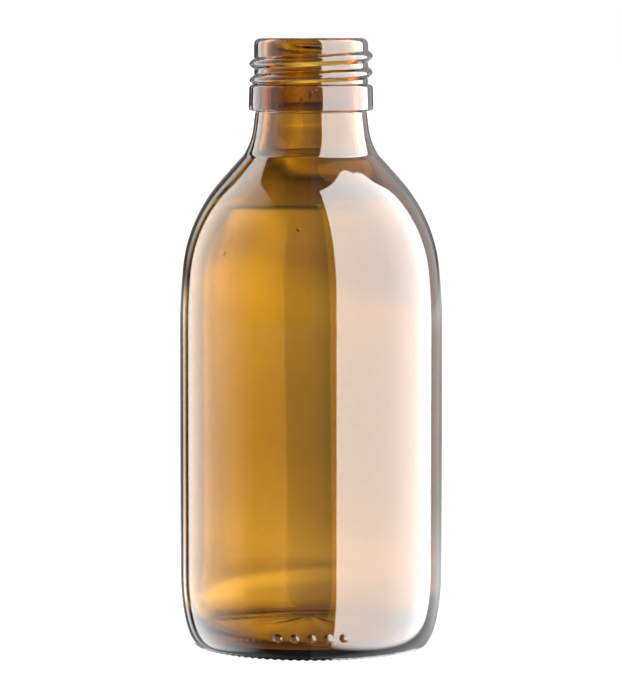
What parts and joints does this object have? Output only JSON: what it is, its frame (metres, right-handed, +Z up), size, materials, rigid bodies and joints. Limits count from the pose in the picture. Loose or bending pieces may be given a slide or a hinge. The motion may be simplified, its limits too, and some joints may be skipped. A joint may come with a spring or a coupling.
{
  "type": "glass bottle",
  "caption": "Round amber glass bottle with a rounded shoulder and heel, a short neck, a collar and a wide screw-thread finish, open and empty.",
  "frame": {"origin": "centre of the standing ring, on the surface the bottle stands on", "axes": "+Z up along the bottle's axis to the mouth; -Y is the front, where the mould dots are"},
  "size_m": [0.0582, 0.0582, 0.1345],
  "materials": {
    "amber_glass": "clear glossy amber glass"
  },
  "bodies": {
    "root": {"bottle": "amber_glass"}
  },
  "joints": []
}
